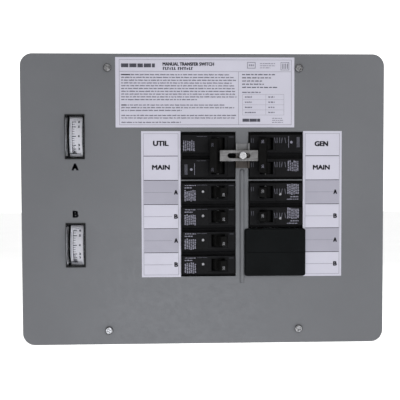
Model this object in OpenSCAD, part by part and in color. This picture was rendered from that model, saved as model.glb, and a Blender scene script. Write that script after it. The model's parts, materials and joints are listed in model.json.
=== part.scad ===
// Flush-mount manual transfer switch: a steel box and cover, two interlocked
// two-pole mains, branch breakers, bus bars and two edgewise load meters.
// Front faces -Y, width along X, +Z up. Origin: centre of the box's back face.

/* [Cover] */
// Cover width
cover_w = 381; // [330:1:460]
// Cover height
cover_h = 304.8; // [290:1:370]
// Cover sheet thickness
cover_t = 1.6; // [1.2:0.1:2]
// Cover corner radius
cover_corner_r = 12.7; // [6:0.1:18]
// Distance between the two columns of cover screws
cover_screw_dx = 200.6; // [160:1:260]
// Cover screw centre to the cover's top or bottom edge
cover_screw_inset = 14.9; // [13:0.1:18]
// Cover screw shank radius
cover_screw_r = 2.1; // [1.6:0.1:2.5]
// Screw head radius
cover_head_r = 4.2; // [3.5:0.1:5]

/* [Box] */
// Box depth behind the cover
box_d = 100; // [92:1:125]
// Box sheet thickness
box_t = 1.5; // [1.2:0.1:2]
// Cover overhang past the box at each side
side_lap = 9.5; // [6:0.5:14]
// Cover overhang past the box at top and bottom
end_lap = 6.4; // [5:0.1:8]
// Bend radius of the box wrap
bend_r = 4; // [3:0.5:6]
// Radius of the open conduit hole in the bottom end
conduit_r = 14.1; // [11:0.1:18]
// Radius of the wall screw holes
wall_hole_r = 3.2; // [2.5:0.1:4]
// Wall screw holes' distance in from the box outline
wall_hole_inset = 31; // [24:1:36]

/* [Breaker rows] */
// Distance between breaker rows
pitch = 25.4; // [24:0.1:31]
// Middle of the six rows, above the cover's middle
rows_mid_z = -5; // [-10:0.5:0]
// Centre bar's middle, right of the cover's middle
bar_x = 40.1; // [20:0.1:50]
// Centre bar width
bar_w = 13.3; // [12:0.1:16]
// Window width at each side of the centre bar
window_w = 57.6; // [57:0.1:66]
// Width of the thin web between the mains' and the branches' windows
web_w = 1.1; // [0.8:0.1:2]
// Centre bar bead width
bead_w = 5; // [3:0.1:6]
// Centre bar bead height
bead_h = 1.8; // [1:0.1:2.4]

/* [Breakers] */
// Handle pivot's distance from the centre bar's middle
pivot_out = 25.45; // [25:0.05:27]
// Case end beyond the pivot, toward the centre bar
case_in = 21.5; // [21:0.1:24]
// Case end beyond the pivot, toward the terminals
case_out = 53; // [50:0.5:64]
// Case depth, shoulder to foot
case_d = 55; // [50:0.5:60]
// Gap between neighbouring cases
case_gap = 0.5; // [0.2:0.1:1]
// Width of the raised face of one pole
face_w = 18.4; // [15:0.1:20]
// Raised face's end toward the centre bar, from the pivot
face_in = 17.6; // [16:0.1:17.8]
// Raised face's end toward the terminals, from the pivot
face_out = 37.6; // [30:0.1:38.5]
// Raised face in front of the cover
face_proud = 3; // [1:0.1:5]
// Shoulder behind the cover's back face
shoulder_gap = 3; // [2.8:0.1:5]
// Case wall beside the working parts
case_wall = 3; // [2:0.1:4]

/* [Handles] */
// Handle tip radius about its pivot
handle_tip_r = 18.5; // [17.5:0.1:20]
// Handle thickness along its swing
handle_t = 7.6; // [6:0.1:8]
// Handle width
handle_w = 9.8; // [8:0.1:11]
// Swing from OFF to ON, degrees
swing = 36; // [26:1:38]
// Handle barrel radius
barrel_r = 6.8; // [6:0.1:7]
// Handle barrel length
barrel_l = 12; // [10:0.5:13]
// Pivot depth behind the raised face
pivot_depth = 8; // [7.5:0.1:9]
// Handle pin radius
pin_r = 1.5; // [1:0.1:2]
// Radial running clearance
run = 0.05; // [0.02:0.01:0.08]
// Gap around the moving handle
swing_gap = 0.45; // [0.3:0.05:0.8]

/* [Contacts] */
// Contact arm pivot behind the handle pivot
arm_drop = 14; // [12:0.5:16]
// Contact arm length
arm_l = 25; // [20:0.5:27]
// Contact arm opening angle, degrees
arm_open = 14; // [8:1:16]
// Bus stab thickness
stab_t = 2.4; // [1.6:0.1:3]
// Bus stab distance from the centre bar's middle
stab_x = 9; // [8:0.1:10]
// Bus stab width
stab_w = 12; // [8:0.5:14]
// Radius of the wire hole in a terminal lug
lug_wire_r = 3.2; // [2.5:0.1:3.6]

/* [Interlock] */
// Interlock plate length
plate_l = 39.7; // [36:0.1:40]
// Interlock plate height
plate_h = 11.4; // [9:0.1:14]
// Interlock plate thickness
plate_t = 1.6; // [1.2:0.1:2]
// Interlock slot length
slot_l = 23.6; // [20:0.1:30]
// Slot end margin at the plate's left end
slot_margin = 8.1; // [5:0.1:9]
// Radius of the interlock screw's shoulder
shoulder_r = 2.4; // [2:0.1:3]
// Slot width over the shoulder
slot_play = 0.4; // [0.2:0.1:1]
// Interlock channel width
channel_w = 14; // [12:0.1:14.2]
// Interlock channel height
channel_l = 25.6; // [20:0.1:30]
// Interlock channel flange height
channel_flange = 9; // [8:0.1:10]
// Interlock channel thickness
channel_t = 1.2; // [1:0.1:1.6]
// Gap from the interlock plate to the generator main's handle at rest
plate_gap = 0.6; // [0.3:0.1:2]

/* [Meters] */
// Meter centre from the cover's left edge
meter_in = 56; // [50:0.5:62]
// Upper meter's height above the cover's middle
meter_a_z = 66; // [56:0.5:72]
// Lower meter's height below the cover's middle
meter_b_drop = 47.3; // [40:0.1:60]
// Meter frame width
meter_w = 20.6; // [18:0.1:24]
// Meter frame height
meter_h = 46.5; // [40:0.1:56]
// Meter frame thickness in front of the cover
meter_frame_t = 1.2; // [1:0.1:2]
// Meter case depth behind the cover
meter_d = 54; // [50:1:60]
// Meter window radius
window_r = 40; // [39:0.5:48]
// Pointer sweep, degrees
sweep = 56; // [40:1:56]

/* [Labels and filler] */
// Directory label width
dir_w = 41; // [36:0.1:44]
// Label thickness
label_t = 0.2; // [0.1:0.05:0.3]
// Top label width
top_label_w = 187.3; // [150:0.1:196]
// Filler plate width
filler_w = 64.4; // [60:0.1:70]
// Filler plate thickness
filler_t = 3; // [2:0.1:4]

/* [Interior] */
// Pan height in front of the wall face
pan_h = 24; // [20:0.5:30]
// Bus base thickness
base_t = 10; // [8:0.5:12]
// Bus bar thickness
bus_t = 2.5; // [2:0.1:3]
// Bus bar width
bus_w = 10; // [8:0.5:12]
// Length of the neutral and ground bars
wire_bar_l = 90; // [60:1:110]

/* [Hidden] */
$fn = 48;
eps = 0.01;
cover_back = -box_d;
cover_front = cover_back - cover_t;
box_w = cover_w - 2 * side_lap;
box_h = cover_h - 2 * end_lap;
end_z = box_h / 2 - box_t;
screw_z = cover_h / 2 - cover_screw_inset;
screw_x = cover_screw_dx / 2;
rows = 6;
rows_h = rows * pitch;
rows_top = rows_mid_z + rows_h / 2;
rows_bot = rows_mid_z - rows_h / 2;
web_z = rows_top - 2 * pitch;
win_x0 = bar_x - bar_w / 2 - window_w;
win_x1 = bar_x + bar_w / 2 + window_w;
face_y = cover_front - face_proud;
shoulder_y = cover_back + shoulder_gap;
foot_y = shoulder_y + case_d;
case_w = pitch - case_gap;
pivot_y = face_y + pivot_depth;
half_swing = swing / 2;
swing_half = pivot_depth * tan(half_swing) + handle_t / 2 / cos(half_swing) + swing_gap;
barrel_cavity_r = barrel_r + swing_gap;
arm_y = pivot_y + arm_drop;
contact_y = arm_y + arm_l - 3.2;
cavity_h = case_w - 2 * case_wall;
cavity_y0 = pivot_y + barrel_cavity_r + 1.2;
cavity_y1 = arm_y + arm_l + 3;
arm_t = 2;
button_t = 2.2;
button_r = 2.8;
arm_pin_r = 1;
jaw_x = pivot_out - stab_x;
jaw_half = 4;
jaw_top = foot_y - 14;
lug_y0 = shoulder_y + 14;
lug_y1 = lug_y0 + 22;
lug_wire_y = lug_y0 + 13;
lug_x0 = case_out - 2;
lug_x1 = case_out - 9;
strap_y = lug_y1;
bimetal_x = 18;
notch_y = foot_y - 4.4;
notch_w = 2.1;
hook_t = 1.5;
pan_y = -pan_h;
pan_t = 1.5;
pan_x0 = bar_x - pivot_out - case_out - 12;
pan_x1 = 2 * bar_x - pan_x0;
pan_z0 = rows_bot - 9;
pan_z1 = rows_top + 9;
base_y = pan_y - pan_t;
bus_y = base_y - base_t;
bus_front = bus_y - bus_t;
base_half = 30;
bus_in = 14;
stab_tip = bus_front - (bus_front - jaw_top) + 3;
plate_y = cover_front - channel_flange - 0.1;
plate_z = web_z + pitch;
tan_h = tan(half_swing);
plate_reach = (pivot_y - plate_y + plate_t) * tan_h + handle_t / 2 / cos(half_swing);
plate_x1 = bar_x + pivot_out - plate_reach - plate_gap;
plate_x0 = plate_x1 - plate_l;
window_bulge_z = meter_h / 2 - 1;
window_axis_y = cover_front - meter_frame_t + sqrt(window_r * window_r - window_bulge_z * window_bulge_z);
meter_x = -cover_w / 2 + meter_in;
meter_body_w = meter_w - 2.2;
meter_body_h = meter_h - 2.4;
meter_wall = 1.2;
cut_play = 0.3;
scale_r = window_r - 4.4;
needle_r = scale_r + 1.5;
needle_rest = -half(sweep);
meter_back = cover_front + meter_d;
wire_bar_z = -box_h / 2 + 20;
ground_x0 = -box_w / 2 + 24;
dir_gap = 0.4;
label_x = 1.65;
bus_screw_x = bus_in + bus_w / 2;
bus_screw_dz = rows_h / 2 - 3;

BLACK = [0.09, 0.09, 0.1];
GREY = [0.46, 0.47, 0.49];
ZINC = [0.72, 0.73, 0.75];
COPPER = [0.78, 0.5, 0.3];
WHITE = [0.85, 0.85, 0.88];

function half(a) = a / 2;
function row_z(i) = rows_top - (i + 0.5) * pitch;

// box between two corners
module bx(x0, x1, y0, y1, z0, z1) {
    translate([min(x0, x1), min(y0, y1), min(z0, z1)])
        cube([abs(x1 - x0), abs(y1 - y0), abs(z1 - z0)]);
}
// cylinder along Z, X or Y, centred
module cz(r, l, x, y, z) { translate([x, y, z]) cylinder(r = r, h = l, center = true); }
module cx(r, l, x, y, z) { translate([x, y, z]) rotate([0, 90, 0]) cylinder(r = r, h = l, center = true); }
module cy(r, l, x, y, z) { translate([x, y, z]) rotate([90, 0, 0]) cylinder(r = r, h = l, center = true); }
// cylinder along Y from y0 to y1
module rod_y(r, x, z, y0, y1) { cy(r, abs(y1 - y0), x, (y0 + y1) / 2, z); }
module rod_x(r, y, z, x0, x1) { cx(r, abs(x1 - x0), (x0 + x1) / 2, y, z); }
module rod_z(r, x, y, z0, z1) { cz(r, abs(z1 - z0), x, y, (z0 + z1) / 2); }

// a breaker's own place: u toward the centre bar from the handle pivot
module at_left(i) { translate([bar_x - pivot_out, 0, row_z(i)]) children(); }
module at_right(i) { translate([bar_x + pivot_out, 0, row_z(i)]) mirror([1, 0, 0]) children(); }

// sheet of the cover's outline with round corners
module outline(w, h, r, y0, y1) {
    union() {
        bx(-w / 2 + r, w / 2 - r, y0, y1, -h / 2, h / 2);
        bx(-w / 2, w / 2, y0, y1, -h / 2 + r, h / 2 - r);
        for (sx = [-1, 1]) for (sz = [-1, 1])
            rod_y(r, sx * (w / 2 - r), sz * (h / 2 - r), y0, y1);
    }
}

// ---------- box ----------
module u_block(w, d, h, r) {
    union() {
        bx(-w / 2 + r, w / 2 - r, -d, 0, -h / 2, h / 2);
        bx(-w / 2, w / 2, -d, -r, -h / 2, h / 2);
        for (sx = [-1, 1]) cz(r, h, sx * (w / 2 - r), -r, 0);
    }
}
module box_wrap() {
    hx = box_w / 2 - wall_hole_inset;
    hz = box_h / 2 - wall_hole_inset;
    color(GREY) difference() {
        u_block(box_w, box_d, 2 * end_z, bend_r);
        translate([0, -box_t, 0]) u_block(box_w - 2 * box_t, box_d, 2 * end_z + 1, bend_r - box_t);
        for (sx = [-1, 1]) for (sz = [-1, 1]) rod_y(wall_hole_r, sx * hx, sz * hz, 1, -box_t - 1);
        for (sx = [-1, 1]) for (z = [-60, 60]) knock_x(sx, -box_d / 2, z);
    }
}
// scored ring of a knockout, cut 0.8 mm into a side wall
module knock_x(s, y, z) {
    translate([s * box_w / 2, y, z]) rotate([0, 90, 0]) difference() {
        cylinder(r = 11.1, h = 1.6, center = true);
        cylinder(r = 10.5, h = 2, center = true);
    }
}
module knock_z(s, x, y, r) {
    translate([x, y, s * box_h / 2]) difference() {
        cylinder(r = r, h = 1.6, center = true);
        cylinder(r = r - 0.6, h = 2, center = true);
    }
}
// one end of the box, made for the top and mirrored for the bottom
module box_end(open_ko) {
    color(GREY) difference() {
        union() {
            u_end();
            for (sx = [-1, 1]) {
                bx(sx * (box_w / 2 - box_t), sx * (box_w / 2 - 2 * box_t), -bend_r, -box_d + 1,
                   end_z - 14, end_z);
                bx(sx * screw_x - 9, sx * screw_x + 9, -box_d, -box_d + box_t, end_z - 15, end_z);
                cy(4.2, 4, sx * screw_x, -box_d + 2, screw_z);
            }
            bx(-box_w / 2 + 20, box_w / 2 - 20, -box_t, -2 * box_t, end_z - 12, end_z);
        }
        for (sx = [-1, 1]) cy(cover_screw_r, 20, sx * screw_x, -box_d, screw_z);
        if (open_ko) cz(conduit_r, 20, -30, -box_d / 2, box_h / 2);
        for (x = open_ko ? [50] : [-30, 50]) knock_z(1, x, -box_d / 2, conduit_r);
        for (x = [-110, 120]) knock_z(1, x, -box_d / 2, 11.1);
    }
}
// the end's flat web, with the wrap's rounded back corners
module u_end() {
    translate([0, 0, (end_z + box_h / 2) / 2]) u_block(box_w, box_d, box_t, bend_r);
}
module box_top_end() { box_end(false); }
module box_bottom_end() { mirror([0, 0, 1]) box_end(true); }

// ---------- cover ----------
module cover_plate() {
    color(GREY) difference() {
        union() {
            difference() {
                outline(cover_w, cover_h, cover_corner_r, cover_back, cover_front);
                for (z = [[web_z + web_w / 2, rows_top], [rows_bot, web_z - web_w / 2]]) {
                    bx(win_x0, bar_x - bar_w / 2, 1, -2 * box_d, z[0], z[1]);
                    bx(bar_x + bar_w / 2, win_x1, 1, -2 * box_d, z[0], z[1]);
                }
                for (z = [meter_a_z, -meter_b_drop])
                    bx(meter_x - meter_body_w / 2 - cut_play, meter_x + meter_body_w / 2 + cut_play,
                       1, -2 * box_d, z - meter_body_h / 2 - cut_play, z + meter_body_h / 2 + cut_play);
            }
            bead(bead_rad, eps);
        }
        bead(bead_rad - 1.2, -10);
        for (sx = [-1, 1]) for (sz = [-1, 1])
            rod_y(cover_screw_r + 0.4, sx * screw_x, sz * screw_z, 1, -2 * box_d);
        rod_y(shoulder_r + 0.1, bar_x, plate_z, 1, -2 * box_d);
    }
}
bead_rad = (bead_w * bead_w / 4 + bead_h * bead_h) / (2 * bead_h);
// pressed bead of the centre bar; only what lies in front of back_y is kept
module bead(r, depth) {
    y = cover_front - bead_h + bead_rad;
    z1 = web_z + 9.2;
    z0 = rows_bot - 5;
    difference() {
        union() {
            rod_z(r, bar_x, y, z0, z1);
            for (z = [z0, z1]) translate([bar_x, y, z]) sphere(r = r);
        }
        bx(bar_x - 9, bar_x + 9, cover_front + depth + (depth < 0 ? 18 : 0), cover_front + 30,
           z0 - 9, z1 + 9);
    }
}
// pan-head screw along Y: head in front of face, shank to tip, cross recess turned by turn
module screw_y(x, z, face, tip, r, hr, ht, turn = 0) {
    k = hr * 0.15;
    difference() {
        union() {
            rod_y(r, x, z, face - 0.5, tip);
            rod_y(hr, x, z, face, face - ht * 0.55);
            translate([x, face - ht * 0.55, z]) rotate([90, 0, 0])
                cylinder(r1 = hr, r2 = hr * 0.78, h = ht * 0.45);
        }
        translate([x, 0, z]) rotate([0, turn, 0]) for (a = [0, 90]) rotate([0, a, 0])
            bx(-hr * 0.62, hr * 0.62, face - ht * 0.4, face - ht - 1, -k, k);
    }
}
module cover_screws() {
    color(ZINC) for (sx = [-1, 1]) for (sz = [-1, 1])
        screw_y(sx * screw_x, sz * screw_z, cover_front, cover_back + 7, cover_screw_r, cover_head_r, 2.4,
                25 * sx + 15 * sz + 20);
}
module sheet_label(x0, x1, z0, z1) { color(WHITE) bx(x0, x1, cover_front, cover_front - label_t, z0, z1); }
module top_label() {
    sheet_label(label_x - top_label_w / 2, label_x + top_label_w / 2, rows_top + 4.5, cover_h / 2 - 3.7);
}
module directory_labels() {
    sheet_label(win_x0 - dir_gap - dir_w, win_x0 - dir_gap, rows_bot - 0.4, rows_top + 0.6);
    sheet_label(win_x1 + dir_gap, win_x1 + dir_gap + dir_w, rows_bot - 0.4, rows_top + 0.6);
}
// snap-in filler over the two lowest right-hand positions
module filler_plate() {
    hw = window_w / 2;
    xm = bar_x + bar_w / 2 + hw;
    x0 = bar_x + bead_w / 2 + 0.1;
    x1 = x0 + filler_w;
    z1 = rows_bot + 2 * pitch - 0.3;
    z0 = rows_bot + 0.3;
    y0 = cover_front - label_t - 0.05;
    color(BLACK) difference() {
        union() {
            translate([(x0 + x1) / 2, 0, (z0 + z1) / 2])
                outline(x1 - x0, z1 - z0, 2.5, y0, y0 - filler_t + 1);
            translate([(x0 + x1) / 2, 0, (z0 + z1) / 2])
                outline(x1 - x0 - 2, z1 - z0 - 2, 2, y0, y0 - filler_t);
            difference() {
                bx(xm - hw + 0.6, xm + hw - 0.6, y0, cover_back + 6, z0 + 0.8, z1 - 0.8);
                bx(xm - hw + 2.4, xm + hw - 2.4, y0 - 0.2, cover_back + 9, z0 + 2.6, z1 - 2.6);
            }
        }
        bx(x0 - 1, x1 + 1, y0 - filler_t + 0.4, y0 - filler_t - 1,
           (z0 + z1) / 2 - 0.3, (z0 + z1) / 2 + 0.3);
    }
}

// ---------- interlock ----------
module interlock_channel() {
    h = channel_w / 2;
    z0 = plate_z - channel_l / 2;
    z1 = plate_z + channel_l / 2;
    color(ZINC) difference() {
        union() {
            bx(bar_x - h, bar_x + h, cover_front, cover_front - channel_t, z0, z1);
            for (s = [-1, 1]) bx(bar_x + s * h, bar_x + s * (h - channel_t), cover_front,
                cover_front - channel_flange, z0, z1);
        }
        rod_y(shoulder_r + 0.1, bar_x, plate_z, 1, -2 * box_d);
    }
}
module interlock_plate() {
    r = shoulder_r + slot_play / 2;
    sx0 = plate_x0 + slot_margin + r;
    sx1 = plate_x0 + slot_margin + slot_l - r;
    y1 = plate_y - plate_t;
    color(ZINC) difference() {
        translate([(plate_x0 + plate_x1) / 2, 0, plate_z]) outline(plate_l, plate_h, 0.8, plate_y, y1);
        rod_y(r, sx0, plate_z, 1, -2 * box_d);
        rod_y(r, sx1, plate_z, 1, -2 * box_d);
        bx(sx0, sx1, plate_y + 1, y1 - 1, plate_z - r, plate_z + r);
    }
}
module interlock_screw() {
    color(ZINC) screw_y(bar_x, plate_z, plate_y - plate_t - 0.1, cover_back + 3, shoulder_r, 4.25, 2.6, 30);
}
module interlock_nut() {
    color(ZINC) difference() {
        translate([bar_x, cover_back, plate_z]) rotate([-90, 0, 0]) cylinder(r = 4.4, h = 2.5, $fn = 6);
        rod_y(shoulder_r, bar_x, plate_z, 1, -2 * box_d);
    }
}

// ---------- breaker ----------
// one pole's moulded case, in its own place
module pole_case() {
    h = case_w / 2;
    slot_half = barrel_l / 2 + swing_gap;
    difference() {
        union() {
            bx(-case_out, case_in, shoulder_y, foot_y, -h, h);
            bx(-face_out, face_in, face_y, shoulder_y + 1, -face_w / 2, face_w / 2);
        }
        // handle pocket
        cz(barrel_cavity_r, barrel_l + 2 * swing_gap, 0, pivot_y, 0);
        bx(-swing_half, swing_half, face_y - 1, pivot_y, -slot_half, slot_half);
        cz(pin_r, barrel_l + 6, 0, pivot_y, 0);
        // working cavity, and the way through to the handle
        bx(-bimetal_x - 2, 9, cavity_y0, cavity_y1, -cavity_h / 2, cavity_h / 2);
        bx(-3, 3, pivot_y, cavity_y0 + 1, -4, 4);
        cz(arm_pin_r, cavity_h + 3, 0, arm_y, 0);
        // terminal pocket, step and strap slot
        bx(-case_out - 1, -case_out + 11, shoulder_y - 1, lug_y0, -h - 1, h + 1);
        bx(-case_out - 1, -lug_x1 + 0.5, lug_y0 - 1, lug_y1 + 1.1, -6.6, 6.6);
        bx(-lug_x1, -bimetal_x - 1, strap_y, strap_y + 1.1, -4.1, 4.1);
        // hook notch and jaw pocket
        bx(-case_out - 1, -case_out + 4.5, notch_y, notch_y - notch_w, -h - 1, h + 1);
        bx(jaw_x - jaw_half, jaw_x + jaw_half, jaw_top - 1, foot_y + 1, -8, 8);
        bx(5.4, jaw_x, min(contact_y + 1.9, jaw_top), max(contact_y + 3.2, jaw_top), -4.1, 4.1);
        // shallow relief beside the handle
        bx(-swing_half - 3, swing_half + 3, face_y - 1, face_y + 0.6, -slot_half - 1, slot_half + 1);
    }
}
module one_case() { color(BLACK) pole_case(); }
module two_case() {
    color(BLACK) union() {
        pole_case();
        translate([0, 0, -pitch]) pole_case();
        bx(-case_out + 11, case_in, shoulder_y + 0.5, notch_y - notch_w, -pitch / 2 - 1, -pitch / 2 + 1);
    }
}
// toggle about its pivot, tilted by a (positive toward the centre bar)
module pole_handle(a) {
    translate([0, pivot_y, 0]) rotate([0, 0, a]) difference() {
        union() {
            cylinder(r = barrel_r, h = barrel_l, center = true);
            bx(-handle_t / 2, handle_t / 2, 0, -handle_tip_r + 1.5, -handle_w / 2, handle_w / 2);
            bx(-handle_t / 2 + 1.5, handle_t / 2 - 1.5, -handle_tip_r + 2, -handle_tip_r,
               -handle_w / 2, handle_w / 2);
            for (s = [-1, 1]) cz(1.5, handle_w, s * (handle_t / 2 - 1.5), -handle_tip_r + 1.5, 0);
        }
        cylinder(r = pin_r + run, h = barrel_l + 2, center = true);
    }
}
module one_handle() { color(BLACK) pole_handle(half_swing); }
module two_handle(a) {
    e = handle_w / 2;
    z0 = -pitch + e - 1;
    z1 = -e + 1;
    color(BLACK) union() {
        pole_handle(a);
        translate([0, 0, -pitch]) pole_handle(a);
        translate([0, pivot_y, 0]) rotate([0, 0, a]) {
            bx(-handle_t / 2, handle_t / 2, -10, -handle_tip_r + 1.5, z0, z1);
            bx(-handle_t / 2 + 1.5, handle_t / 2 - 1.5, -handle_tip_r + 2, -handle_tip_r, z0, z1);
            for (s = [-1, 1]) rod_z(1.5, s * (handle_t / 2 - 1.5), -handle_tip_r + 1.5, z0, z1);
        }
    }
}
// moving contact arm, swung open by a
module pole_arm(a) {
    color(COPPER) translate([0, arm_y, 0]) rotate([0, 0, a]) difference() {
        union() {
            cylinder(r = 2.4, h = 7, center = true);
            bx(-arm_t / 2, arm_t / 2, 0, arm_l, -3, 3);
            rod_x(button_r, contact_y - arm_y, 0, arm_t / 2 - 0.2, arm_t / 2 + button_t);
        }
        cylinder(r = arm_pin_r + run, h = 9, center = true);
    }
}
module pole_pins() {
    cz(pin_r, barrel_l + 6, 0, pivot_y, 0);
    cz(arm_pin_r, cavity_h + 3, 0, arm_y, 0);
}
// jaw on the stab, its strap and the fixed contact
module pole_jaw() {
    g = stab_t / 2 + run;
    cx0 = arm_t / 2 + button_t + run;
    union() {
        for (s = [-1, 1])
            bx(jaw_x + s * g, jaw_x + s * (g + 1), jaw_top, foot_y - 2, -stab_w / 2, stab_w / 2);
        bx(jaw_x - g - 1, jaw_x + g + 1, jaw_top - 1, jaw_top, -stab_w / 2, stab_w / 2);
        bx(cx0 + 2, jaw_x - g, contact_y + 2, contact_y + 3.1, -4, 4);
        bx(jaw_x - g - 1, jaw_x - g, jaw_top - 1, contact_y + 3.1, -4, 4);
        bx(cx0 + 1.2, cx0 + 2.4, contact_y - 3, contact_y + 3.1, -4, 4);
        rod_x(button_r, contact_y, 0, cx0, cx0 + 1.3);
    }
}
module pole_lug() {
    difference() {
        bx(-lug_x0, -lug_x1, lug_y0 + 1, lug_y1, -6, 6);
        rod_x(lug_wire_r, lug_wire_y, 0, -case_out - 5, -lug_x1 + 5);
        rod_y(2.5, -(lug_x0 + lug_x1) / 2, 0, lug_y0, lug_wire_y);
    }
}
module pole_lug_screw() {
    screw_y(-(lug_x0 + lug_x1) / 2, 0, lug_y0 - 0.2, lug_wire_y - lug_wire_r, 2.5, 3.4, 2.4);
}
// thermal strip, magnet yoke and load strap
module pole_trip() {
    union() {
        bx(-lug_x0, -bimetal_x, strap_y, strap_y + 1, -4, 4);
        bx(-bimetal_x - 1, -bimetal_x, cavity_y0 + 3, strap_y + 1, -4, 4);
        bx(-bimetal_x - eps, -bimetal_x + 3, cavity_y0 + 12, cavity_y0 + 22, -7, -5.6);
        bx(-bimetal_x - eps, -bimetal_x + 3, cavity_y0 + 12, cavity_y0 + 22, 5.6, 7);
        bx(-bimetal_x - eps, -bimetal_x + 1.4, cavity_y0 + 12, cavity_y0 + 22, -7, 7);
    }
}
// places its child in each pole position
module each_pole() {
    for (i = [0:5]) at_left(i) children();
    for (i = [0:3]) at_right(i) children();
}
module breaker_pins() { color(ZINC) each_pole() pole_pins(); }
module stab_jaws() { color(COPPER) each_pole() pole_jaw(); }
module terminal_lugs() { color(ZINC) each_pole() pole_lug(); }
module lug_screws() { color(ZINC) each_pole() pole_lug_screw(); }
module trip_units() { color(COPPER) each_pole() pole_trip(); }

module util_main_case() { at_left(0) two_case(); }
module gen_main_case() { at_right(0) two_case(); }
module util_main_handle() { at_left(0) two_handle(-half_swing); }
module gen_main_handle() { at_right(0) two_handle(half_swing); }
module util_arms() { for (i = [0, 1]) at_left(i) pole_arm(arm_open); }
module gen_arms() { for (i = [0, 1]) at_right(i) pole_arm(0); }

// ---------- interior ----------
module interior_pan() {
    color(ZINC) difference() {
        union() {
            bx(pan_x0, pan_x1, pan_y, pan_y - pan_t, pan_z0, pan_z1);
            for (x = [[pan_x0, 1], [pan_x1, -1]]) {
                bx(x[0], x[0] + x[1] * pan_t, -box_t, pan_y - pan_t, pan_z0, pan_z1);
                bx(x[0], x[0] + x[1] * 14, -box_t, -box_t - pan_t, pan_z0, pan_z1);
            }
        }
        for (x = [pan_x0 + 8, pan_x1 - 8]) for (z = [pan_z0 + 12, pan_z1 - 12]) {
            rod_y(4.6, x, z, pan_y + 1, pan_y - pan_t - 1);
            rod_y(2, x, z, 1, -box_t - pan_t - 1);
        }
        bx(bar_x - 20, bar_x + 20, pan_y + 1, pan_y - pan_t - 1, rows_mid_z - 20, rows_mid_z + 20);
    }
}
module pan_screws() {
    color(ZINC) {
        for (x = [pan_x0 + 8, pan_x1 - 8]) for (z = [pan_z0 + 12, pan_z1 - 12])
            screw_y(x, z, -box_t - pan_t, -box_t, 2, 3.8, 2.4);
        for (s = [-1, 1]) for (t = [-1, 1])
            screw_y(bar_x + t * bus_screw_x, rows_mid_z + s * bus_screw_dz, bus_front, base_y, 2, 3.8, 2.2);
    }
}
module hook_rails() {
    xr = pivot_out + case_out + 0.2;
    hook_y = notch_y - 0.2;
    color(ZINC) for (s = [-1, 1]) union() {
        bx(bar_x + s * xr, bar_x + s * (xr + hook_t), base_y, hook_y, rows_bot, rows_top);
        bx(bar_x + s * (xr - 4), bar_x + s * (xr + hook_t), hook_y, hook_y - hook_t, rows_bot, rows_top);
        bx(bar_x + s * xr, bar_x + s * (xr + 9), base_y, base_y - hook_t, rows_bot, rows_top);
    }
}
module bus_base() {
    color([0.55, 0.2, 0.15]) difference() {
        union() {
            bx(bar_x - base_half, bar_x + base_half, base_y, bus_y, rows_bot - 4, rows_top + 4);
            for (s = [-1, 1]) bx(bar_x + s * (base_half - 2.5), bar_x + s * base_half, base_y,
                bus_y - 5, rows_bot - 4, rows_top + 4);
        }
        for (s = [-1, 1]) for (t = [-1, 1])
            rod_y(2, bar_x + t * bus_screw_x, rows_mid_z + s * bus_screw_dz, pan_y, -2 * box_d);
    }
}
// bus bar on the side s of the centre line, with stabs on every second row
module bus(s, first) {
    color(COPPER) difference() {
        union() {
            bx(bar_x + s * bus_in, bar_x + s * (bus_in + bus_w), bus_y, bus_front, rows_bot, rows_top);
            for (i = [first:2:5]) {
                bx(bar_x + s * (bus_in + 1), bar_x - s * (stab_x + stab_t / 2), bus_y, bus_front,
                   row_z(i) - stab_w / 2, row_z(i) + stab_w / 2);
                for (t = [-1, 1]) bx(bar_x + t * stab_x - stab_t / 2, bar_x + t * stab_x + stab_t / 2,
                    bus_y, stab_tip, row_z(i) - stab_w / 2, row_z(i) + stab_w / 2);
            }
        }
        for (t = [-1, 1]) rod_y(2, bar_x + s * bus_screw_x, rows_mid_z + t * bus_screw_dz, 0, -2 * box_d);
    }
}
module bus_a() { bus(-1, 0); }
module bus_b() { bus(1, 1); }
// terminal bar with wire holes along Z and a screw over each
module wire_bar(x0, y0, n) {
    w = wire_bar_l / n;
    difference() {
        bx(x0, x0 + wire_bar_l, y0, y0 - 10, wire_bar_z - 5, wire_bar_z + 5);
        for (i = [0:n - 1]) {
            cz(2.6, 20, x0 + (i + 0.5) * w, y0 - 4.6, wire_bar_z);
            rod_y(1.6, x0 + (i + 0.5) * w, wire_bar_z, y0 - 5, y0 - 20);
        }
    }
}
module wire_bar_screws(x0, y0, n) {
    w = wire_bar_l / n;
    for (i = [0:n - 1]) screw_y(x0 + (i + 0.5) * w, wire_bar_z, y0 - 10.2, y0 - 7.4, 1.6, 2.8, 1.8);
}
neutral_x0 = 0;
neutral_y = -box_t - 14;
module neutral_bar() { color(ZINC) wire_bar(neutral_x0, neutral_y, 9); }
module ground_bar() { color(ZINC) wire_bar(ground_x0, -box_t, 9); }
module bar_screws() {
    color(ZINC) {
        wire_bar_screws(neutral_x0, neutral_y, 9);
        wire_bar_screws(ground_x0, -box_t, 9);
    }
}
module neutral_standoffs() {
    color(BLACK) for (x = [neutral_x0 + 6, neutral_x0 + wire_bar_l - 6])
        rod_y(4.8, x, wire_bar_z, -box_t, neutral_y);
}

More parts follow.
